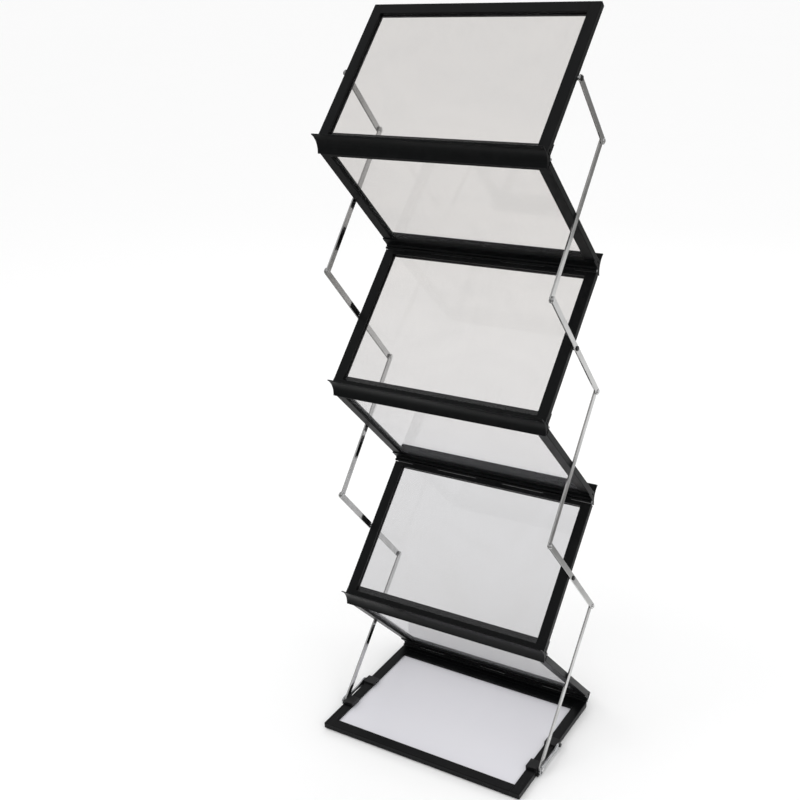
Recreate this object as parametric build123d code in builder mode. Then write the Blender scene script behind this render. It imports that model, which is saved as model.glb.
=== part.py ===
from build123d import *
from math import sin, cos, asin, radians, sqrt
import os

# Folding two-sided brochure rack.
# A flat base frame carries six hinged frames in a zig-zag: rear shelves lean forward as they
# rise from a rear hinge, front shelves lean back as they rise from a front hinge. Chains of
# flat arms run up both sides and keep the zig-zag moving as one.
# Millimetres, +Z up, X across the rack, -Y is the front where a reader stands.
# Origin on the floor, under the centre of the rack's overall box.

os.makedirs("parts", exist_ok=True)

# ---------------------------------------------------------------- driving dimensions
WIDTH = 445.0          # overall width of every frame
HALF_WIDTH = WIDTH / 2
RAIL_WIDTH = 20.0      # face width of the side rails
RAIL_MID = HALF_WIDTH - RAIL_WIDTH / 2
RAIL_INNER = HALF_WIDTH - RAIL_WIDTH
CROSS_RAIL_LENGTH = 2 * RAIL_INNER - 0.16   # clears the side rails at both ends
FRAME_THICK = 12.5
HINGE_SPAN = 302.0     # hinge axis to hinge axis of one frame, and the pitch of the arm pivots
STACK_PITCH = 20.0     # stacking height of one frame in the folded rack
LEAN_FRONT = 44.0      # front shelf plane above horizontal, degrees
LEAN_REAR = 47.0       # rear shelf plane above horizontal, degrees
Y_HINGE = 130.9        # rear base hinge axis
Z_HINGE = 14.75
SIDES = (("right", 1), ("left", -1))    # right is +X

# Frame section: heights are above the frame's own lower hinge axis
UNDERSIDE = 7.25
TOPSIDE = UNDERSIDE + FRAME_THICK
GROOVE = 3.2           # glazing groove height
GROOVE_LOW = UNDERSIDE + FRAME_THICK / 2 - GROOVE / 2
GROOVE_TOP = GROOVE_LOW + GROOVE
GROOVE_DEPTH = 6.5
SHEET = 3.0            # sheet thickness
SHEET_TUCK = 6.0       # sheet edge inside the groove
SHEET_LIFT = (GROOVE - SHEET) / 2
GROOVE_WIDTH = 2 * (RAIL_INNER + GROOVE_DEPTH)
SHEET_WIDTH = 2 * (RAIL_INNER + SHEET_TUCK)
OUTER_FILLET = 1.2
INNER_CHAMFER = 0.5

# Frame plan: distances up the slope from the lower hinge axis
AXIS_RUN = sqrt(HINGE_SPAN**2 - STACK_PITCH**2)   # to the upper hinge axis
LEDGE_IN = 11.0        # side rails start here
HINGE_GAP = 3.6        # rails stop this far short of the upper hinge axis
TOP_END = AXIS_RUN - HINGE_GAP
TOP_IN = AXIS_RUN - 12.0            # inner edge of the narrow upper hinge rail
LAST_TOP_END = AXIS_RUN - 3.3       # the topmost frame has a wider upper rail and no hinge
LAST_TOP_IN = AXIS_RUN - 23.5

# Hinges
PIN_R = 1.5
BORE_R = 1.55
KNUCKLE_R = 2.75
TAB_LAP = 1.0          # knuckle tab overlap into the rail
TAB_THICK = 2.4
TAB_LENGTH = HINGE_GAP + TAB_LAP
# Knuckles along X, (centre, length): on the upper hinge rail, and on the bottom rail between them
RAIL_KNUCKLES = [(-150.0, 60.0), (0.0, 60.0), (150.0, 60.0)]
LIP_KNUCKLES = [(-201.25, 41.5), (-75.0, 89.0), (75.0, 89.0), (201.25, 41.5)]

# Arms lie in two layers beside the frames
ARM_WIDTH = 12.0
ARM_THICK = 3.0
X_IN = HALF_WIDTH + 1.0             # inner face of the inner arm layer
X_OUT = X_IN + ARM_THICK + 0.5      # inner face of the outer arm layer
ARMS_FACE = X_OUT + ARM_THICK       # outer face of the outer arm layer
RIVET_R = 2.5
FREE_R = RIVET_R + 0.05             # turning fit
LOOSE_R = RIVET_R + 0.1
SEAT_DEPTH = 12.0                   # arm pivot pin seats in the side rails
CUT_OVERRUN = 0.5

# Base frame
BASE_LOW = Z_HINGE - STACK_PITCH + UNDERSIDE
BASE_TOP = BASE_LOW + FRAME_THICK
BASE_GROOVE_LOW = BASE_LOW + FRAME_THICK / 2 - GROOVE / 2
BASE_FRONT = Y_HINGE - 314.0
BASE_FRONT_IN = Y_HINGE - 293.5
BASE_REAR_IN = Y_HINGE - 33.0
BASE_REAR = Y_HINGE - HINGE_GAP
BASE_MID = (BASE_FRONT + BASE_REAR) / 2
OPENING_MID = (BASE_FRONT_IN + BASE_REAR_IN) / 2
OPENING_LENGTH = BASE_REAR_IN - BASE_FRONT_IN


# ---------------------------------------------------------------- hinge axes and arm pivots
def along(point, run, share=1.0):
    """Point in (Y, Z) moved by a share of a run."""
    return (point[0] + share * run[0], point[1] + share * run[1])


# Runs from hinge axis to hinge axis, as (Y, Z)
AXIS_TILT = asin(STACK_PITCH / HINGE_SPAN)
FRONT_ANGLE = radians(LEAN_FRONT) + AXIS_TILT
REAR_ANGLE = radians(LEAN_REAR) + AXIS_TILT
FRONT_RUN = (HINGE_SPAN * cos(FRONT_ANGLE), HINGE_SPAN * sin(FRONT_ANGLE))
REAR_RUN = (-HINGE_SPAN * cos(REAR_ANGLE), HINGE_SPAN * sin(REAR_ANGLE))

# Lower hinge axis of each frame from the base up: rear, front, rear, front, rear, front
hinges = [(Y_HINGE, Z_HINGE)]
for index in range(5):
    hinges.append(along(hinges[-1], REAR_RUN if index % 2 == 0 else FRONT_RUN))

# Arm pivots at the middle of front shelves 1, 2 and 3
mid_1, mid_2, mid_3 = [along(hinge, FRONT_RUN, 0.5) for hinge in hinges[1::2]]

# Free nodes of the arm chain, from the top down
node_1 = along(mid_3, REAR_RUN, -0.5)
node_2 = along(mid_2, REAR_RUN, 0.5)
node_3 = along(mid_2, REAR_RUN, -0.5)
node_4 = along(mid_1, REAR_RUN, 0.5)
node_5 = along(mid_1, REAR_RUN, -0.5)
FOOT = (Y_HINGE - 230.2, 13.4)      # the lowest arm is longer and reaches the base rail
LATCH = (Y_HINGE - 150.0, 13.0)     # latch pivot


def frame_plane(axis_point, is_front):
    """Plane of a frame through its lower hinge axis: y runs up the slope, z is the top side."""
    lean = radians(LEAN_FRONT if is_front else LEAN_REAR)
    facing = 1 if is_front else -1
    return Plane(origin=(0, axis_point[0], axis_point[1]), x_dir=(facing, 0, 0),
                 z_dir=(0, -facing * sin(lean), cos(lean)))


def section_plane(plane):
    """Cross-section at mid width: sketch x runs up the slope, sketch y is the top side."""
    return Plane(origin=plane.origin, x_dir=plane.y_dir, z_dir=plane.x_dir)


def save(part, name):
    part.label = name
    export_step(part, f"parts/{name}.step")


# ---------------------------------------------------------------- bottom rail sections
# All points are (up the slope, height) from the lower hinge axis.
# The lip is a wall between two arcs struck from one centre, concave on its outer face.
ARC_CENTRE = (-36.9, 29.0)
ARC_R = 35.4
WALL = 2.0
TIP_HEIGHT = 37.0


def arc_point(height, radius):
    return (ARC_CENTRE[0] + sqrt(radius**2 - (height - ARC_CENTRE[1]) ** 2), height)


TOE = arc_point(0.0, ARC_R)
OUTER_MID = arc_point(22.0, ARC_R)
OUTER_TIP = arc_point(TIP_HEIGHT, ARC_R)
INNER_TIP = arc_point(TIP_HEIGHT, ARC_R + WALL)
INNER_MID = arc_point(29.0, ARC_R + WALL)
INNER_FOOT = arc_point(TOPSIDE, ARC_R + WALL)

# Glazing channel and ledge, shared by both sections
CHANNEL_FLOOR = 5.0
CHANNEL = [
    (LEDGE_IN, TOPSIDE), (LEDGE_IN, GROOVE_TOP), (CHANNEL_FLOOR, GROOVE_TOP),
    (CHANNEL_FLOOR, GROOVE_LOW), (LEDGE_IN, GROOVE_LOW), (LEDGE_IN, UNDERSIDE),
    (24.0, UNDERSIDE), (24.0, 5.05), (4.2, 5.05), (3.0, 3.05),
]
PLAIN_BACK = -3.0
PLAIN_OUTLINE = [
    (PLAIN_BACK, 5.05), (PLAIN_BACK, TOPSIDE), *CHANNEL, (PLAIN_BACK, 3.05), (PLAIN_BACK, 5.05),
]
LIP_OUTLINE = [INNER_FOOT, *CHANNEL, (-3.6, 3.05), (-4.6, 2.2), (-4.6, 0.0), TOE]

# Rectangles cut from the sections: centre up the slope, centre height, width, height
LEDGE_NOTCH = (17.5, UNDERSIDE, 1.2, 0.9)
PLAIN_CUTS = [(1.0, 12.6, 3.0, 7.0), LEDGE_NOTCH]
LIP_CUTS = [(1.9, 12.6, 2.2, 7.0), (-8.0, 2.9, 2.8, 1.8), LEDGE_NOTCH]


# ---------------------------------------------------------------- pieces of a shelf frame
def frame_rails(name, plane, is_front, is_last):
    """Side rails and upper cross rail, three separate solids with a glazing groove."""
    section = section_plane(plane)
    slope = Axis((0, 0, 0), tuple(plane.y_dir))
    top_in = LAST_TOP_IN if is_last else TOP_IN
    top_end = LAST_TOP_END if is_last else TOP_END
    rail_y = (LEDGE_IN + top_end) / 2
    with BuildPart() as rails:
        with BuildSketch(plane.offset(UNDERSIDE)):
            with Locations((-RAIL_MID, rail_y), (RAIL_MID, rail_y)):
                Rectangle(RAIL_WIDTH, top_end - LEDGE_IN - 0.1)
            with Locations((0, (top_in + top_end) / 2)):
                Rectangle(CROSS_RAIL_LENGTH, top_end - top_in)
        extrude(amount=FRAME_THICK)
        outer = rails.edges().filter_by(slope).filter_by(
            lambda e: e.length > 200 and abs(e.center().X) > HALF_WIDTH - 1)
        fillet(outer, OUTER_FILLET)
        inner = rails.edges().filter_by(slope).filter_by(
            lambda e: e.length > 200 and abs(e.center().X) < RAIL_INNER + 1)
        chamfer(inner, INNER_CHAMFER)
        groove_end = top_in + 6.0
        with BuildSketch(plane.offset(GROOVE_LOW)):
            with Locations((0, groove_end / 2)):
                Rectangle(GROOVE_WIDTH, groove_end)
        extrude(amount=GROOVE, mode=Mode.SUBTRACT)
        if not is_last:
            for centre, length in RAIL_KNUCKLES:
                with BuildSketch(section.offset(centre - length / 2)):
                    with Locations((AXIS_RUN, STACK_PITCH)):
                        Circle(KNUCKLE_R)
                    with Locations((AXIS_RUN - TAB_LENGTH / 2, TOPSIDE - TAB_THICK / 2)):
                        Rectangle(TAB_LENGTH, TAB_THICK)
                extrude(amount=length)
            with BuildSketch(section):
                with Locations((AXIS_RUN, STACK_PITCH)):
                    Circle(BORE_R)
            extrude(amount=HALF_WIDTH, both=True, mode=Mode.SUBTRACT)
        if is_front:
            # seats of the arm pivot pins in the outer sides of the side rails
            for start in (HALF_WIDTH - SEAT_DEPTH, -HALF_WIDTH - CUT_OVERRUN):
                with BuildSketch(section.offset(start)):
                    with Locations((AXIS_RUN / 2, STACK_PITCH / 2)):
                        Circle(RIVET_R)
                extrude(amount=SEAT_DEPTH + CUT_OVERRUN, mode=Mode.SUBTRACT)
    save(rails.part, name + "_rails")


def bottom_rail(name, plane, has_lip):
    """Full-width lower rail: channel, ledge and hinge knuckles, with or without the lip."""
    section = section_plane(plane)
    with BuildPart() as rail:
        with BuildSketch(section):
            with BuildLine():
                if has_lip:
                    ThreePointArc(TOE, OUTER_MID, OUTER_TIP)
                    Line(OUTER_TIP, INNER_TIP)
                    ThreePointArc(INNER_TIP, INNER_MID, INNER_FOOT)
                    Polyline(*LIP_OUTLINE)
                else:
                    Polyline(*PLAIN_OUTLINE)
            make_face()
            for y, z, width, height in LIP_CUTS if has_lip else PLAIN_CUTS:
                with Locations((y, z)):
                    Rectangle(width, height, mode=Mode.SUBTRACT)
        extrude(amount=HALF_WIDTH, both=True)
        if not has_lip:
            back_edges = rail.edges().filter_by(Axis.X).filter_by(
                lambda e: e.length > WIDTH - 1
                and plane.to_local_coords(e.center()).Y < PLAIN_BACK + 0.1
                and plane.to_local_coords(e.center()).Z > TOPSIDE - 0.1)
            fillet(back_edges, 1.4)
        for centre, length in LIP_KNUCKLES:
            with BuildSketch(section.offset(centre - length / 2)):
                Circle(KNUCKLE_R)
                with Locations((0, 3.8)):
                    Rectangle(3.2, 2.9)
            extrude(amount=length)
        with BuildSketch(section):
            Circle(BORE_R)
        extrude(amount=HALF_WIDTH + 1, both=True, mode=Mode.SUBTRACT)
        if has_lip:
            tip_edges = rail.edges().filter_by(Axis.X).filter_by(
                lambda e: e.length > WIDTH - 1
                and abs(plane.to_local_coords(e.center()).Z - TIP_HEIGHT) < 0.1)
            fillet(tip_edges, 0.7)
    save(rail.part, name + ("_lip_profile" if has_lip else "_bottom_rail"))


def acrylic_sheet(name, plane, is_last):
    """Clear sheet held in the groove on all four sides."""
    start = 5.4
    end = (LAST_TOP_IN if is_last else TOP_IN) + 5.6
    with BuildPart() as sheet:
        with BuildSketch(plane.offset(GROOVE_LOW + SHEET_LIFT)):
            with Locations((0, (start + end) / 2)):
                Rectangle(SHEET_WIDTH, end - start)
        extrude(amount=SHEET)
        fillet(sheet.edges().filter_by(Axis((0, 0, 0), tuple(plane.z_dir))), 2.0)
    save(sheet.part, name + "_acrylic")


def hinge_pin(name, axis_point):
    """Pin along the frame's lower axis, with a small tapered head at each end."""
    pin_end = HALF_WIDTH + 0.1
    with BuildPart() as pin:
        with BuildSketch(Plane.YZ.offset(-pin_end)):
            with Locations(axis_point):
                Circle(PIN_R)
        extrude(amount=2 * pin_end)
        for side in (1, -1):
            with BuildSketch(Plane.YZ.offset(side * pin_end)):
                with Locations(axis_point):
                    Circle(2.6)
            extrude(amount=side * 0.7, taper=18)
    save(pin.part, name + "_hinge_pin")


# ---------------------------------------------------------------- base
def base_side_rails():
    with BuildPart() as rails:
        with BuildSketch(Plane.XY.offset(BASE_LOW)):
            with Locations((RAIL_MID, BASE_MID), (-RAIL_MID, BASE_MID)):
                Rectangle(RAIL_WIDTH, BASE_REAR - BASE_FRONT)
        extrude(amount=FRAME_THICK)
        fillet(rails.edges().filter_by(Axis.Y).filter_by(
            lambda e: abs(e.center().X) > HALF_WIDTH - 1), OUTER_FILLET)
        chamfer(rails.edges().filter_by(Axis.Y).filter_by(
            lambda e: abs(e.center().X) < RAIL_INNER + 1), INNER_CHAMFER)
        # outer front corners
        fillet(rails.edges().filter_by(Axis.Z).filter_by(
            lambda e: abs(e.center().X) > HALF_WIDTH - 3 and e.center().Y < BASE_FRONT + 3), 1.0)
        with BuildSketch(Plane.XY.offset(BASE_GROOVE_LOW)):
            with Locations((0, OPENING_MID)):
                Rectangle(GROOVE_WIDTH, OPENING_LENGTH + 2 * GROOVE_DEPTH)
        extrude(amount=GROOVE, mode=Mode.SUBTRACT)
    save(rails.part, "base_side_rails")


def base_cross_rails():
    with BuildPart() as rails:
        with BuildSketch(Plane.XY.offset(BASE_LOW)):
            with Locations((0, (BASE_FRONT + BASE_FRONT_IN) / 2)):
                Rectangle(CROSS_RAIL_LENGTH, BASE_FRONT_IN - BASE_FRONT)
            with Locations((0, (BASE_REAR + BASE_REAR_IN) / 2)):
                Rectangle(CROSS_RAIL_LENGTH, BASE_REAR - BASE_REAR_IN)
        extrude(amount=FRAME_THICK)
        fillet(rails.edges().filter_by(Axis.X).filter_by(
            lambda e: e.center().Y < BASE_FRONT + 1), OUTER_FILLET)
        # shallow groove between the rear rail and its hinge strip
        with BuildSketch(Plane.YZ):
            with Locations((Y_HINGE - 13.0, BASE_TOP)):
                Rectangle(1.4, 1.8)
        extrude(amount=HALF_WIDTH, both=True, mode=Mode.SUBTRACT)
        with BuildSketch(Plane.XY.offset(BASE_GROOVE_LOW)):
            with Locations((0, OPENING_MID)):
                Rectangle(GROOVE_WIDTH, OPENING_LENGTH + 2 * GROOVE_DEPTH)
        extrude(amount=GROOVE, mode=Mode.SUBTRACT)
        for centre, length in RAIL_KNUCKLES:
            with BuildSketch(Plane.YZ.offset(centre - length / 2)):
                with Locations((Y_HINGE, Z_HINGE)):
                    Circle(KNUCKLE_R)
                with Locations((Y_HINGE - TAB_LENGTH / 2, BASE_TOP - TAB_THICK / 2)):
                    Rectangle(TAB_LENGTH, TAB_THICK)
            extrude(amount=length)
        with BuildSketch(Plane.YZ):
            with Locations((Y_HINGE, Z_HINGE)):
                Circle(BORE_R)
        extrude(amount=HALF_WIDTH, both=True, mode=Mode.SUBTRACT)
    save(rails.part, "base_cross_rails")


def base_board():
    with BuildPart() as board:
        with BuildSketch(Plane.XY.offset(BASE_GROOVE_LOW + SHEET_LIFT)):
            with Locations((0, OPENING_MID)):
                Rectangle(SHEET_WIDTH, OPENING_LENGTH + 2 * SHEET_TUCK)
        extrude(amount=SHEET)
    save(board.part, "base_board")


def base_feet():
    inset = 14.0
    with BuildPart() as feet:
        with BuildSketch(Plane.XY):
            with Locations((RAIL_MID, BASE_FRONT + inset), (-RAIL_MID, BASE_FRONT + inset),
                           (RAIL_MID, BASE_REAR - inset), (-RAIL_MID, BASE_REAR - inset)):
                Circle(8.0)
        extrude(amount=BASE_LOW)
        chamfer(feet.edges().filter_by(GeomType.CIRCLE).group_by(Axis.Z)[0], 0.6)
    save(feet.part, "base_feet")


# ---------------------------------------------------------------- foot latches on the base
BLOCK_FACE = X_IN + 3.2     # outer face of the blocks
BLOCK_FIT = 0.05            # clearance to the base rail
BLOCK_IN = RAIL_INNER - 2.0
BLOCK_HOOK = BASE_TOP - 3.2   # lower end of the inner flange


def block_outline(side, crown, low):
    """(X, Z) outline of a block wrapped over a base side rail; crown holds its upper corners."""
    points = [
        (BLOCK_IN, BLOCK_HOOK), *crown, (BLOCK_FACE, low), (HALF_WIDTH + BLOCK_FIT, low),
        (HALF_WIDTH + BLOCK_FIT, BASE_TOP + BLOCK_FIT),
        (RAIL_INNER - BLOCK_FIT, BASE_TOP + BLOCK_FIT), (RAIL_INNER - BLOCK_FIT, BLOCK_HOOK),
    ]
    return [(side * x, z) for x, z in points]


def latch_pivot_blocks():
    length = 22.0
    top = BASE_TOP + 3.0
    crown = [(BLOCK_IN, top), (BLOCK_FACE, top)]
    with BuildPart() as blocks:
        for side in (1, -1):
            with BuildSketch(Plane.XZ.offset(-(LATCH[0] + length / 2))):
                with BuildLine():
                    Polyline(*block_outline(side, crown, BASE_LOW + 1.6), close=True)
                make_face()
            extrude(amount=length)
        fillet(blocks.edges().filter_by(Axis.Z), 0.8)
        with BuildSketch(Plane.YZ):
            with Locations(LATCH):
                Circle(RIVET_R)
        extrude(amount=HALF_WIDTH + 10, both=True, mode=Mode.SUBTRACT)
    save(blocks.part, "latch_pivot_blocks")


def foot_rest_blocks():
    length = 24.0
    top = BASE_TOP + 5.5
    step_x = HALF_WIDTH + 0.6
    step_z = FOOT[1] - 6.2
    crown = [(BLOCK_IN, top), (step_x, top), (step_x, step_z), (BLOCK_FACE, step_z)]
    with BuildPart() as blocks:
        for side in (1, -1):
            with BuildSketch(Plane.XZ.offset(-(FOOT[0] + length / 2))):
                with BuildLine():
                    Polyline(*block_outline(side, crown, BASE_LOW + 1.0), close=True)
                make_face()
            extrude(amount=length)
    save(blocks.part, "foot_rest_blocks")


def latch_screws():
    """Shank, tapered head and hexagonal socket on each side."""
    start = HALF_WIDTH + 0.06
    head = ARMS_FACE + 0.1
    with BuildPart() as screws:
        for side in (1, -1):
            with BuildSketch(Plane.YZ.offset(side * start)):
                with Locations(LATCH):
                    Circle(RIVET_R)
            extrude(amount=side * (head - start))
            with BuildSketch(Plane.YZ.offset(side * head)):
                with Locations(LATCH):
                    Circle(4.2)
            extrude(amount=side * 1.6, taper=12)
            with BuildSketch(Plane.YZ.offset(side * (head + 1.0))):
                with Locations(LATCH):
                    RegularPolygon(1.5, 6)
            extrude(amount=side * 2.0, mode=Mode.SUBTRACT)
    save(screws.part, "latch_screws")


# Latch plate outline: (anchor, Y offset, Z offset)
LATCH_OUTLINE = [
    (LATCH, 5.5, 0.0), (LATCH, 0.0, 5.5), (LATCH, -24.0, 4.4),
    (FOOT, 22.0, 4.6), (FOOT, 3.0, 7.4), (FOOT, -7.0, 5.2), (FOOT, -9.6, -2.0),
    (FOOT, -6.0, -8.4), (FOOT, 5.0, -8.0), (FOOT, 22.0, -4.4),
    (LATCH, -24.0, -4.2), (LATCH, 0.0, -5.5),
]
SLOT_ANGLE = 53.0
SLOT_LENGTH = 20.0
SLOT_R = RIVET_R + 0.5


def latch_plate(side_name, side):
    """Hooked plate: the slot opens forwards and down, so the foot stud leaves as it lifts."""
    outline = [(anchor[0] + y, anchor[1] + z) for anchor, y, z in LATCH_OUTLINE]
    reach = SLOT_LENGTH / 2
    slot_angle = radians(SLOT_ANGLE)
    slot_centre = (FOOT[0] - reach * cos(slot_angle), FOOT[1] - reach * sin(slot_angle))
    with BuildPart() as latch:
        with BuildSketch(Plane.YZ.offset(side * X_OUT)):
            with BuildLine():
                Spline(*outline, periodic=True)
            make_face()
            with Locations(LATCH):
                Circle(FREE_R, mode=Mode.SUBTRACT)
            with Locations(FOOT):
                Circle(SLOT_R, mode=Mode.SUBTRACT)
            with Locations(slot_centre):
                Rectangle(SLOT_LENGTH, 2 * SLOT_R, rotation=SLOT_ANGLE, mode=Mode.SUBTRACT)
        extrude(amount=side * ARM_THICK)
    save(latch.part, "latch_" + side_name)


# ---------------------------------------------------------------- arms and their pivots
# First pivot, second pivot, layer x, hole radius at first, hole radius at second, middle hole
ARMS = {
    "arm_1": (mid_3, node_1, X_OUT, FREE_R, RIVET_R, False),
    "arm_2": (node_1, node_2, X_IN, FREE_R, LOOSE_R, False),
    "arm_3": (node_2, node_3, X_OUT, RIVET_R, RIVET_R, True),
    "arm_4": (node_3, node_4, X_IN, FREE_R, LOOSE_R, False),
    "arm_5": (node_4, node_5, X_OUT, RIVET_R, RIVET_R, True),
    "arm_6": (node_5, FOOT, X_IN, FREE_R, RIVET_R, False),
}
# Node rivets are held in the outer arms
RIVETED_NODES = {"arm_1": [node_1], "arm_3": [node_2, node_3], "arm_5": [node_4, node_5]}

# Round fasteners seen from the +X side, one stage per row: start x, radius, length, taper
RIVET_START = X_IN - 0.1
RIVET_STAGES = [
    (RIVET_START, RIVET_R, ARMS_FACE - RIVET_START, 0),   # shank through both layers
    (ARMS_FACE, 4.6, 1.5, 30),                            # head
    (RIVET_START, 4.0, -0.7, 20),                         # formed tail
]
STUD_HEAD = ARMS_FACE + 0.2
STUD_STAGES = [(X_IN, RIVET_R, STUD_HEAD - X_IN, 0), (STUD_HEAD, 4.0, 1.4, 20)]
PIN_START = HALF_WIDTH - 11.9
PIN_HEAD = ARMS_FACE + 0.1
ARM_PIN_STAGES = [(PIN_START, RIVET_R, PIN_HEAD - PIN_START, 0), (PIN_HEAD, 4.8, 1.8, 15)]


def arm(name, side, first, second, layer_x, first_hole, second_hole, middle_hole):
    dy, dz = second[0] - first[0], second[1] - first[1]
    length = sqrt(dy**2 + dz**2)
    plane = Plane(origin=(side * layer_x, first[0], first[1]),
                  x_dir=(0, dy / length, dz / length), z_dir=(side, 0, 0))
    with BuildPart() as bar:
        with BuildSketch(plane):
            with Locations((length / 2, 0)):
                SlotCenterToCenter(length, ARM_WIDTH)
        extrude(amount=ARM_THICK)
        chamfer(bar.faces().filter_by(Axis.X).edges(), 0.35)
        with BuildSketch(plane.offset(-1)):
            Circle(first_hole)
            with Locations((length, 0)):
                Circle(second_hole)
            if middle_hole:
                with Locations((length / 2, 0)):
                    Circle(FREE_R)
        extrude(amount=ARM_THICK + 2, mode=Mode.SUBTRACT)
    save(bar.part, name)


def fasteners(name, points, sides, stages):
    """Round fasteners along X at (Y, Z) points, on one or both sides of the rack."""
    with BuildPart() as pins:
        for side in sides:
            for start, radius, length, taper in stages:
                with BuildSketch(Plane.YZ.offset(side * start)):
                    with Locations(*points):
                        Circle(radius)
                extrude(amount=side * length, taper=taper)
    save(pins.part, name)


def spacers(name, point):
    """Sleeves between the side rails and the outer arms."""
    with BuildPart() as sleeves:
        for side in (1, -1):
            with BuildSketch(Plane.YZ.offset(side * (HALF_WIDTH + 0.02))):
                with Locations(point):
                    Circle(4.2)
                    Circle(RIVET_R, mode=Mode.SUBTRACT)
            extrude(amount=side * (X_OUT - HALF_WIDTH - 0.1))
    save(sleeves.part, name)


# ---------------------------------------------------------------- build
for index, hinge in enumerate(hinges):
    is_front = index % 2 == 1
    is_last = index == len(hinges) - 1
    name = f"{'front' if is_front else 'rear'}_shelf_{index // 2 + 1}"
    plane = frame_plane(hinge, is_front)
    frame_rails(name, plane, is_front, is_last)
    bottom_rail(name, plane, has_lip=index > 0)   # the lowest shelf meets the base without a lip
    acrylic_sheet(name, plane, is_last)
    hinge_pin(name, hinge)

base_side_rails()
base_cross_rails()
base_board()
base_feet()
latch_pivot_blocks()
foot_rest_blocks()
latch_screws()

for side_name, side in SIDES:
    latch_plate(side_name, side)
    for name, row in ARMS.items():
        arm(f"{name}_{side_name}", side, *row)
    for name, points in RIVETED_NODES.items():
        fasteners(f"{name}_{side_name}_rivets", points, [side], RIVET_STAGES)
    # stud in the lowest arm, caught by the latch
    fasteners(f"foot_stud_{side_name}", [FOOT], [side], STUD_STAGES)

# arm pivots on the front shelves: pins seated in the side rails, with spacer sleeves
for number, point in enumerate((mid_1, mid_2, mid_3), start=1):
    fasteners(f"front_shelf_{number}_arm_pins", [point], (1, -1), ARM_PIN_STAGES)
    spacers(f"front_shelf_{number}_spacers", point)
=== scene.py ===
"""Folding display rack: clear acrylic shelves in black extruded frames, joined by plated flat
arms, over a base that holds an opal board.

The rack stands on z = 0 with its width along X. Front shelves rise toward +Y, rear shelves
toward -Y. The CAD pieces keep their meshes; this script gives them materials and a studio.
"""
import math
import bpy
from mathutils import Matrix, Vector

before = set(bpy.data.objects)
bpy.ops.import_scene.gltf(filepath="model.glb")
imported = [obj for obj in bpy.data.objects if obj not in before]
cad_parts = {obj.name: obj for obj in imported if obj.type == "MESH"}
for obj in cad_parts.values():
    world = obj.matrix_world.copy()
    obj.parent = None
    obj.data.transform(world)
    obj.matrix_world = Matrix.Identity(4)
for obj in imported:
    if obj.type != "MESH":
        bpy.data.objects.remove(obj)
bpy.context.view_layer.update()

LEAN = {"front": 44.0, "rear": -47.0}   # slope of each shelf plane toward +Y, degrees
SIDE_RAIL_X = 0.2024                    # beyond this |x| a frame bar is a side rail

FLOOR_RADIUS = 60.0
FLOOR_Z = -0.0005                       # just under the feet


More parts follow.
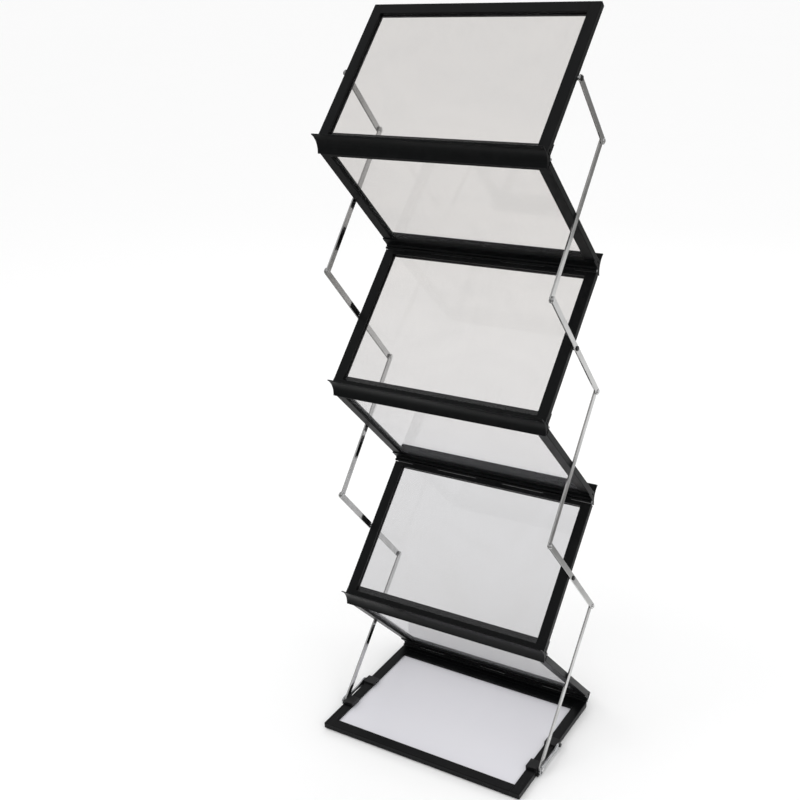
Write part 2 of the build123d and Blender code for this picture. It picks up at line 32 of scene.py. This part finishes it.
# ---------------------------------------------------------------- node helpers
class Tree:
    """A short way to write the node tree of a material or world."""

    def __init__(self, owner, output_kind):
        self.owner = owner
        owner.use_nodes = True
        self.nodes = owner.node_tree.nodes
        self.links = owner.node_tree.links
        self.nodes.clear()
        self.out = self.nodes.new(output_kind)

    def put(self, socket, value):
        """Link a socket or a node's first output, or set a plain value."""
        if isinstance(value, bpy.types.NodeSocket):
            self.links.new(value, socket)
        elif isinstance(value, bpy.types.Node):
            self.links.new(value.outputs[0], socket)
        elif hasattr(value, "__len__") and socket.type == "RGBA" and len(value) == 3:
            socket.default_value = (*value, 1.0)
        else:
            socket.default_value = value

    def node(self, kind, **inputs):
        """A new node; an underscore in an input's name stands for a space."""
        node = self.nodes.new(kind)
        for name, value in inputs.items():
            self.put(node.inputs[name.replace("_", " ")], value)
        return node

    def calc(self, operation, *values, clamp=False):
        node = self.node("ShaderNodeMath")
        node.operation = operation
        node.use_clamp = clamp
        for socket, value in zip(node.inputs, values):
            self.put(socket, value)
        return node.outputs[0]

    def add(self, a, b, clamp=False):
        return self.calc("ADD", a, b, clamp=clamp)

    def minus(self, a, b, clamp=False):
        return self.calc("SUBTRACT", a, b, clamp=clamp)

    def times(self, a, b, clamp=False):
        return self.calc("MULTIPLY", a, b, clamp=clamp)

    def vary(self, value, noise, amount, clamp=False):
        """The value moved up and down by a noise centred on 0.5."""
        return self.add(value, self.times(self.minus(noise, 0.5), amount), clamp=clamp)

    def vector_value(self, operation, *vectors):
        """A vector operation that gives a single number."""
        node = self.node("ShaderNodeVectorMath")
        node.operation = operation
        for socket, vector in zip(node.inputs, vectors):
            self.put(socket, vector)
        return node.outputs["Value"]

    def mix(self, amount, first, second, kind="RGBA"):
        node = self.node("ShaderNodeMix")
        node.data_type = kind
        first_in, second_in, result = {"RGBA": (6, 7, 2), "FLOAT": (2, 3, 0)}[kind]
        self.put(node.inputs[0], amount)
        self.put(node.inputs[first_in], first)
        self.put(node.inputs[second_in], second)
        return node.outputs[result]

    def mix_shaders(self, amount, first, second):
        node = self.node("ShaderNodeMixShader")
        for socket, value in zip(node.inputs, (amount, first, second)):
            self.put(socket, value)
        return node

    def ramp(self, factor, *stops):
        """A colour ramp through (position, grey or colour) stops."""
        node = self.node("ShaderNodeValToRGB", Fac=factor)
        elements = node.color_ramp.elements
        while len(elements) < len(stops):
            elements.new(0.5)
        for element, (position, value) in zip(elements, stops):
            colour = value if hasattr(value, "__len__") else (value,) * 3
            element.position = position
            element.color = (*colour, 1.0)
        return node.outputs[0]

    def fade(self, factor, start, full, top=1.0):
        """0 up to start, rising to top at full."""
        return self.ramp(factor, (start, 0.0), (full, top))

    def coords(self, tilt=0.0):
        """Object coordinates turned about X, so that local Y runs along a tilted surface."""
        source = self.node("ShaderNodeTexCoord").outputs["Object"]
        turn = (-math.radians(tilt), 0.0, 0.0)
        return self.node("ShaderNodeMapping", Vector=source, Rotation=turn).outputs[0]

    def stretch(self, co, scale):
        return self.node("ShaderNodeMapping", Vector=co, Scale=scale).outputs[0]

    def separate(self, vector):
        return self.node("ShaderNodeSeparateXYZ", Vector=vector).outputs

    def noise(self, co, scale=1.0, detail=4.0, rough=0.55, distort=0.0):
        return self.node("ShaderNodeTexNoise", Vector=co, Scale=scale, Detail=detail,
                         Roughness=rough, Distortion=distort).outputs[0]

    def edge(self, radius):
        """An edge mask, from the change a small bevel makes to the normal, and the bevelled
        normal."""
        bevel = self.node("ShaderNodeBevel", Radius=radius)
        bevel.samples = 6
        flat = self.node("ShaderNodeNewGeometry").outputs["Normal"]
        same = self.vector_value("DOT_PRODUCT", bevel.outputs[0], flat)
        return self.minus(1.0, same, clamp=True), bevel.outputs[0]

    def mottle(self, noise, start, full, base, dark, light):
        """The base colour between a dark and a light gain, following a noise."""
        return self.mix(self.fade(noise, start, full), gained(base, dark), gained(base, light))

    def bump(self, height, strength, distance, **normal):
        return self.node("ShaderNodeBump", Height=height, Strength=strength,
                         Distance=distance, **normal).outputs[0]

    def surface(self, shader):
        self.put(self.out.inputs["Surface"], shader)
        return self.owner

    def principled(self, **inputs):
        return self.surface(self.node("ShaderNodeBsdfPrincipled", **inputs))


def material_tree(name):
    return Tree(bpy.data.materials.new(name), "ShaderNodeOutputMaterial")


def gained(colour, gain, lift=0.0):
    return tuple(min(1.0, c * gain + lift) for c in colour)


# ---------------------------------------------------------------- materials
def black_extrusion(name, tilt, lip=False, base=(0.0030, 0.0033, 0.0036), rough=0.36):
    """Satin black anodised aluminium: die lines along each bar, a fine etched grain, faint
    handling marks and slightly polished edges. A lip has no side rails."""
    t = material_tree(name)
    co = t.coords(tilt)
    side = 0.0
    if not lip:
        side = t.calc("GREATER_THAN", t.calc("ABSOLUTE", t.separate(co)[0]), SIDE_RAIL_X)
    # die lines run along X, and along local Y on the side rails
    lines_x, lines_y = (t.noise(t.stretch(co, scale), detail=3.0, rough=0.6)
                        for scale in ((1.5, 900.0, 900.0), (900.0, 1.5, 900.0)))
    die = t.mix(side, lines_x, lines_y, kind="FLOAT")
    grain = t.noise(co, scale=2600.0, detail=2.0, rough=0.6)
    marks = t.noise(co, scale=16.0, detail=6.0, rough=0.62, distort=0.4)
    smear = t.noise(t.stretch(co, (1.0, 0.35, 1.0)), scale=48.0, detail=5.0, rough=0.6,
                    distort=0.8)
    edge, bevelled = t.edge(radius=0.0006)
    handled = t.ramp(marks, (0.40, 0.25), (0.66, 1.0))
    worn = t.times(t.fade(edge, start=0.02, full=0.28), handled)

    # colour: die lines, then half-strength dust, then paler worn edges
    colour = t.mottle(die, start=0.3, full=0.7, base=base, dark=0.72, light=1.3)
    dust = t.times(t.fade(smear, start=0.46, full=0.75), 0.5)
    colour = t.mix(dust, colour, (0.0068, 0.0070, 0.0074))
    colour = t.mix(t.times(worn, 0.55), colour, (0.042, 0.044, 0.046))

    # roughness: die lines and smears vary it, worn edges are smoother
    sheen = t.add(rough - 0.07, t.times(die, 0.10))
    sheen = t.vary(sheen, smear, amount=0.16)
    sheen = t.minus(sheen, t.times(worn, 0.08), clamp=True)

    # relief: six parts die lines to four parts grain
    relief = t.add(t.times(die, 0.6), t.times(grain, 0.4))
    normal = t.bump(relief, strength=0.16, distance=0.00012, Normal=bevelled)
    return t.principled(Base_Color=colour, Roughness=sheen, Normal=normal,
                        IOR=1.45, Specular_IOR_Level=0.17)


def chrome(name, tilt, base=(0.63, 0.63, 0.625), rough=0.10):
    """Bright plated metal: polishing lines, water marks and a painted highlight that brightens
    the colour along every edge.
    """
    t = material_tree(name)
    co = t.coords(tilt)
    lines = t.noise(t.stretch(co, (600.0, 3.0, 1400.0)), rough=0.6)
    cloud = t.noise(co, scale=38.0, detail=5.0, rough=0.6, distort=0.5)
    specks = t.noise(co, scale=900.0, detail=2.0, rough=0.5)
    edge, bevelled = t.edge(radius=0.0005)

    # colour: clouds, then dark specks at a third strength, then a painted highlight along the
    # edges
    colour = t.mottle(cloud, start=0.35, full=0.7, base=base, dark=0.86, light=1.08)
    speckled = t.times(t.fade(specks, start=0.68, full=0.74), 0.35)
    colour = t.mix(speckled, colour, gained(base, gain=0.45))
    # painted highlight: the edge mask lifts the colour toward pale grey along every edge,
    # standing in for a line of light
    colour = t.mix(t.times(edge, 1.2, clamp=True), colour, (0.83, 0.835, 0.84))

    # roughness: polishing lines vary it, water marks dull it
    sheen = t.vary(rough, lines, amount=0.10)
    sheen = t.add(sheen, t.times(t.fade(cloud, start=0.5, full=0.8), 0.07), clamp=True)
    normal = t.bump(lines, strength=0.10, distance=0.00006, Normal=bevelled)
    return t.principled(Base_Color=colour, Roughness=sheen, Normal=normal, Metallic=1.0)


def steel(name, base, rough, grain_scale, relief, metallic=1.0):
    """Turned or stamped steel: fine tool grain, faint blotches and bright edges."""
    t = material_tree(name)
    co = t.coords()
    grain = t.noise(co, scale=grain_scale, detail=3.0, rough=0.6)
    cloud = t.noise(co, scale=120.0, detail=5.0, rough=0.6, distort=0.6)
    edge, bevelled = t.edge(radius=0.0004)

    colour = t.mottle(cloud, start=0.3, full=0.72, base=base, dark=0.72, light=1.12)
    bright = t.times(edge, 0.9, clamp=True)         # not quite full strength
    colour = t.mix(bright, colour, gained(base, gain=1.5, lift=0.03))

    sheen = t.vary(rough, cloud, amount=0.22)
    sheen = t.vary(sheen, grain, amount=0.12, clamp=True)
    normal = t.bump(grain, strength=relief, distance=0.00008, Normal=bevelled)
    return t.principled(Base_Color=colour, Roughness=sheen, Normal=normal, Metallic=metallic)


def moulded(name, base, rough, grain_scale=1500.0, relief=0.25, specular=0.4):
    """Moulded plastic or rubber: spark-eroded grain, uneven sheen and rubbed edges."""
    t = material_tree(name)
    co = t.coords()
    grain = t.noise(co, scale=grain_scale, detail=3.0, rough=0.65)
    cloud = t.noise(co, scale=70.0, detail=5.0, rough=0.6, distort=0.4)
    edge, bevelled = t.edge(radius=0.0006)

    colour = t.mottle(cloud, start=0.3, full=0.7, base=base, dark=0.75, light=1.3)
    rubbed = t.times(edge, 0.6, clamp=True)         # a little over half strength
    colour = t.mix(rubbed, colour, gained(base, gain=2.6, lift=0.01))

    sheen = t.vary(rough, cloud, amount=0.25, clamp=True)
    normal = t.bump(grain, strength=relief, distance=0.00015, Normal=bevelled)
    return t.principled(Base_Color=colour, Roughness=sheen, Normal=normal,
                        Specular_IOR_Level=specular)


def opal_board(name):
    """Opal white sheet: a faint lavender cast, soft mottling, a fine orange-peel and a few
    light scuffs."""
    t = material_tree(name)
    co = t.coords()
    peel = t.noise(co, scale=420.0, detail=3.0)
    cloud = t.noise(co, scale=7.0, detail=5.0, rough=0.6, distort=0.6)
    scuff = t.noise(co, scale=11.0, detail=7.0, rough=0.62, distort=0.8)

    mottling = t.fade(cloud, start=0.3, full=0.75)
    colour = t.mix(mottling, (0.742, 0.738, 0.782), (0.756, 0.750, 0.789))
    scuffed = t.fade(scuff, start=0.58, full=0.86)
    colour = t.mix(t.times(scuffed, 0.05), colour, (0.66, 0.66, 0.69))

    # roughness 0.24, up to 0.04 more where scuffed
    sheen = t.add(0.24, t.times(t.fade(scuff, start=0.45, full=0.80), 0.04), clamp=True)
    normal = t.bump(peel, strength=0.05, distance=0.0001)
    return t.principled(Base_Color=colour, Roughness=sheen, Normal=normal, IOR=1.49)


def clear_sheet(name, tilt):
    """Clear acrylic: a faint grey tint, painted lighter and warmer in the upper sheets as
    painted light, a mirror-like skin that grows brighter at a glancing angle, slight waviness,
    and dust and wiping marks that turn milky at a glancing angle. Light passes straight
    through, so it casts only a weak shade."""
    t = material_tree(name)
    co = t.coords(tilt)
    wave = t.noise(co, scale=5.0, detail=2.0, rough=0.5, distort=0.3)
    wipe = t.noise(t.stretch(co, (0.8, 1.3, 1.0)), scale=5.0, detail=5.0, distort=1.1)
    fine = t.noise(t.stretch(co, (9.0, 1.0, 1.0)), scale=30.0, rough=0.6, distort=0.6)
    dust = t.noise(co, scale=1500.0, detail=2.0, rough=0.5)

    # tint: painted light by height, lighter and warmer higher up, and then darker by wiping
    # marks
    height = t.separate(t.coords())[2]
    # painted light: the same acrylic gets a lighter, warmer tint the higher it stands
    tint = t.mix(t.fade(height, start=0.45, full=0.95),
                 (0.832, 0.831, 0.838), (0.866, 0.853, 0.842))
    tint = t.mix(t.fade(wipe, start=0.32, full=0.72, top=0.35), tint, (0.80, 0.795, 0.79))

    # a clearer tint for light and bounces, and for sheets lying one behind another
    path = t.node("ShaderNodeLightPath").outputs
    shadow = path["Is Shadow Ray"]
    clearer = t.calc("MAXIMUM", shadow, path["Is Diffuse Ray"])
    behind = t.times(t.minus(path["Transparent Depth"], 1.5, clamp=True), 0.9)
    clearer = t.calc("MAXIMUM", clearer, behind)
    tint = t.mix(clearer, tint, (0.945, 0.943, 0.942))
    clear = t.node("ShaderNodeBsdfTransparent", Color=tint)

    # skin: roughness 0.02, up to 0.05 more where wiped
    sheen = t.add(0.02, t.times(t.fade(wipe, start=0.4, full=0.8), 0.05))
    normal = t.bump(wave, strength=0.04, distance=0.0006)
    skin = t.node("ShaderNodeBsdfGlossy", Color=(0.96, 0.96, 0.97), Roughness=sheen,
                  Normal=normal)
    film = t.node("ShaderNodeBsdfDiffuse", Color=(0.74, 0.74, 0.77), Roughness=0.6)

    # glance: 0 face on, 1 edge on, with the fifth-power rise of a Fresnel curve
    view = t.node("ShaderNodeNewGeometry").outputs
    facing = t.calc("ABSOLUTE", t.vector_value("DOT_PRODUCT", view["Normal"], view["Incoming"]))
    glance = t.calc("POWER", t.minus(1.0, facing, clamp=True), 5.0)

    # reflection: 0.037 face on, 0.20 more at a glance, none for shadows
    reflection = t.add(0.037, t.times(glance, 0.20))
    reflection = t.times(reflection, t.minus(1.0, shadow))
    skinned = t.mix_shaders(reflection, clear, skin)

    # haze: faint dust specks, a strong milkiness at a glance and faint wiping marks
    specks = t.times(t.fade(dust, start=0.70, full=0.78), 0.012)
    haze = t.add(specks, t.times(glance, 0.21))
    wiped = t.fade(t.times(wipe, fine), start=0.18, full=0.5)
    haze = t.add(haze, t.times(wiped, 0.016))
    return t.surface(t.mix_shaders(haze, skinned, film))


MATERIALS = {}
for facing, lean in LEAN.items():
    MATERIALS["frame_" + facing] = black_extrusion("black_extrusion_" + facing, lean)
    MATERIALS["lip_" + facing] = black_extrusion(
        "black_lip_" + facing, lean, lip=True, base=(0.0028, 0.0032, 0.0034), rough=0.34)
    MATERIALS["sheet_" + facing] = clear_sheet("clear_sheet_" + facing, lean)
MATERIALS.update({
    "frame_base": black_extrusion("black_extrusion_base", tilt=0.0),
    "chrome_rear": chrome("chrome_bar_rear", LEAN["rear"]),
    "chrome_front": chrome("chrome_bar_front", LEAN["front"]),
    "chrome_ring": chrome("chrome_ring", tilt=0.0, base=(0.72, 0.725, 0.73), rough=0.09),
    "rivet": steel("bright_rivet", (0.80, 0.80, 0.80), rough=0.16, grain_scale=1200.0,
                   relief=0.12),
    "pin": steel("drawn_pin", (0.42, 0.42, 0.43), rough=0.30, grain_scale=900.0, relief=0.2),
    "latch": steel("zinc_latch", (0.62, 0.63, 0.64), rough=0.24, grain_scale=700.0,
                   relief=0.22),
    "black_steel": steel("black_oxide", (0.030, 0.030, 0.031), rough=0.34,
                         grain_scale=900.0, relief=0.2, metallic=0.6),
    "nylon": moulded("black_nylon", (0.006, 0.006, 0.0065), rough=0.46),
    "rubber": moulded("black_rubber", (0.012, 0.012, 0.012), rough=0.78, grain_scale=900.0,
                      relief=0.5, specular=0.25),
    "board": opal_board("opal_board"),
})


def material_key(piece):
    """The material for a piece, from its name; the first match wins."""
    facing = "rear" if piece.startswith("rear_") else "front"
    if piece.endswith("_lip_profile"):
        return "lip_" + facing
    if piece.endswith("_acrylic"):
        return "sheet_" + facing
    if piece.endswith(("_rails", "_bottom_rail")):
        return "frame_base" if piece.startswith("base_") else "frame_" + facing
    if piece.endswith("_hinge_pin"):
        return "pin"
    if piece.endswith("_arm_pins") or piece == "latch_screws":
        return "black_steel"
    if piece.endswith("_spacers"):
        return "chrome_ring"
    if piece.endswith("_rivets") or piece.startswith("foot_stud"):
        return "rivet"
    if piece.startswith("arm_"):            # odd arms lean with the rear shelves
        return "chrome_rear" if piece[4] in "135" else "chrome_front"
    if piece in ("latch_right", "latch_left"):
        return "latch"
    return {"base_board": "board", "base_feet": "rubber"}.get(piece, "nylon")


for piece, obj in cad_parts.items():
    material = MATERIALS[material_key(piece)]
    if not obj.material_slots:
        obj.data.materials.append(material)
    for slot in obj.material_slots:
        slot.material = material


# ---------------------------------------------------------------- floor
def floor_material():
    """Near-white floor that looks darker away from the rack in reflections only."""
    t = material_tree("studio_floor")
    co = t.coords()
    tone = t.ramp(t.noise(co, scale=1.3), (0.3, 0.958), (0.7, 0.962))
    mirrored = t.node("ShaderNodeLightPath").outputs["Is Glossy Ray"]
    distance = t.vector_value("LENGTH", co)
    dark = t.times(t.fade(distance, start=0.42, full=0.95), mirrored)

    # a paler slanting strip beyond y = 0.5, behind the rack, for the bars to mirror
    x, y, _ = t.separate(co)
    across = t.minus(x, t.times(y, 0.65))
    across = t.add(t.times(across, 0.5), 0.5)       # -1..1 to the ramp's 0..1
    strip = t.ramp(across, (0.22, 0.0), (0.28, 1.0), (0.45, 1.0), (0.51, 0.0))
    strip = t.times(strip, t.calc("GREATER_THAN", y, 0.5))
    dark = t.times(dark, t.minus(1.0, t.times(strip, 0.85)))

    tone = t.mix(dark, tone, (0.26, 0.258, 0.252))
    return t.surface(t.node("ShaderNodeBsdfDiffuse", Color=tone, Roughness=0.4))


bpy.ops.mesh.primitive_circle_add(vertices=96, radius=FLOOR_RADIUS, fill_type="NGON",
                                  location=(0, 0, FLOOR_Z))
floor = bpy.context.object
floor.name = "studio_floor"
floor.data.materials.append(floor_material())

# ---------------------------------------------------------------- world
scene = bpy.context.scene


def studio_world():
    """Plain white light; reflections see a grey that pales toward the zenith."""
    t = Tree(bpy.data.worlds.new("studio"), "ShaderNodeOutputWorld")
    mirrored = t.node("ShaderNodeLightPath").outputs["Is Glossy Ray"]
    height = t.separate(t.node("ShaderNodeTexCoord").outputs["Generated"])[2]
    greys = t.ramp(height, (0.0, (0.30, 0.305, 0.31)), (0.16, (0.34, 0.34, 0.3434)),
                   (0.42, (0.42, 0.42, 0.4242)), (1.0, 0.62))
    soft = t.node("ShaderNodeBackground", Color=greys)
    plain = t.node("ShaderNodeBackground", Color=(1, 1, 1), Strength=1.0)
    return t.surface(t.mix_shaders(mirrored, plain, soft))


scene.world = studio_world()


# ---------------------------------------------------------------- lights
def area(name, location, target, size, power):
    """A rectangular light aimed at a target."""
    light = bpy.data.lights.new(name, "AREA")
    light.shape = "RECTANGLE"
    light.size, light.size_y = size
    light.energy = power
    obj = bpy.data.objects.new(name, light)
    obj.location = location
    aim = Vector(target) - Vector(location)
    obj.rotation_euler = aim.to_track_quat("-Z", "Y").to_euler()
    scene.collection.objects.link(obj)
    return obj


key = area("key", location=(-1.9, -2.0, 3.2), target=(0, 0, 0.7), size=(1.6, 1.6), power=14.0)
key.visible_glossy = False
area("fill", location=(2.8, -1.2, 2.2), target=(0, 0, 0.7), size=(1.2, 2.0), power=7.0)
area("back", location=(-0.6, 2.6, 2.4), target=(0, 0, 0.8), size=(2.0, 1.2), power=7.0)

# ---------------------------------------------------------------- camera
# the camera's own axes in the world: X right, Y up, Z back toward the viewer
CAMERA_RIGHT = (0.8475966, 0.5279235, -0.0536357)
CAMERA_UP = (-0.1604145, 0.3512667, 0.922431)
CAMERA_BACK = (0.5058134, -0.7732454, 0.382419)
CAMERA_PLACE = (1.0029, -1.702149, 1.523854)

lens = bpy.data.cameras.new("camera")
lens.sensor_width = 36.0
lens.lens = 51.9818
lens.clip_start, lens.clip_end = 0.05, 200.0
camera = bpy.data.objects.new("camera", lens)
scene.collection.objects.link(camera)
pose = Matrix((CAMERA_RIGHT, CAMERA_UP, CAMERA_BACK)).transposed().to_4x4()
pose.translation = CAMERA_PLACE
camera.matrix_world = pose
scene.camera = camera

scene.view_settings.view_transform = "Standard"
scene.view_settings.look = "None"
scene.cycles.transparent_max_bounces = 40   # six folded sheets are twelve faces deep
